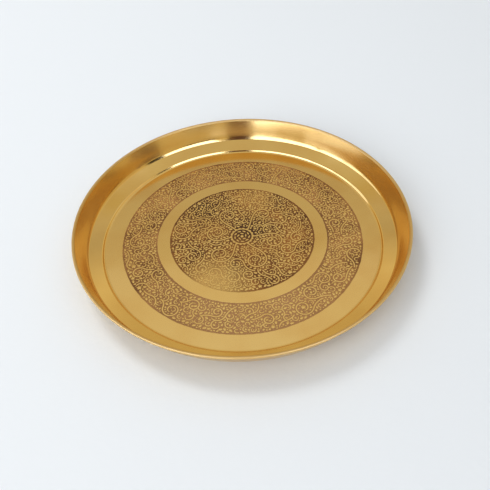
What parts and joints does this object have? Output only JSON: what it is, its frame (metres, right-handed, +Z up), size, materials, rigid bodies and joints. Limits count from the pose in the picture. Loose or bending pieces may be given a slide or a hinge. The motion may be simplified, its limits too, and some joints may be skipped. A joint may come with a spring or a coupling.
{
  "type": "brass tray",
  "caption": "Round shallow brass serving tray with a low step, flared wall, wired rim and etched floral floor.",
  "frame": {"origin": "centre of the flat resting face, under the middle of the floor", "axes": "+Z up along the tray's axis of revolution; X and Y in the resting plane, equivalent to each other"},
  "size_m": [0.254, 0.254, 0.0235],
  "materials": {
    "brass": "polished and lacquered spun brass sheet with etched zones",
    "wire": "drawn brass wire, unpolished",
    "fill": "thin brown lac fill, satin"
  },
  "bodies": {
    "root": {"tray_pan": "brass", "rim_wire": "wire", "medallion_fill": "fill", "band_fill": "fill", "rosette_fill": "fill"}
  },
  "joints": []
}
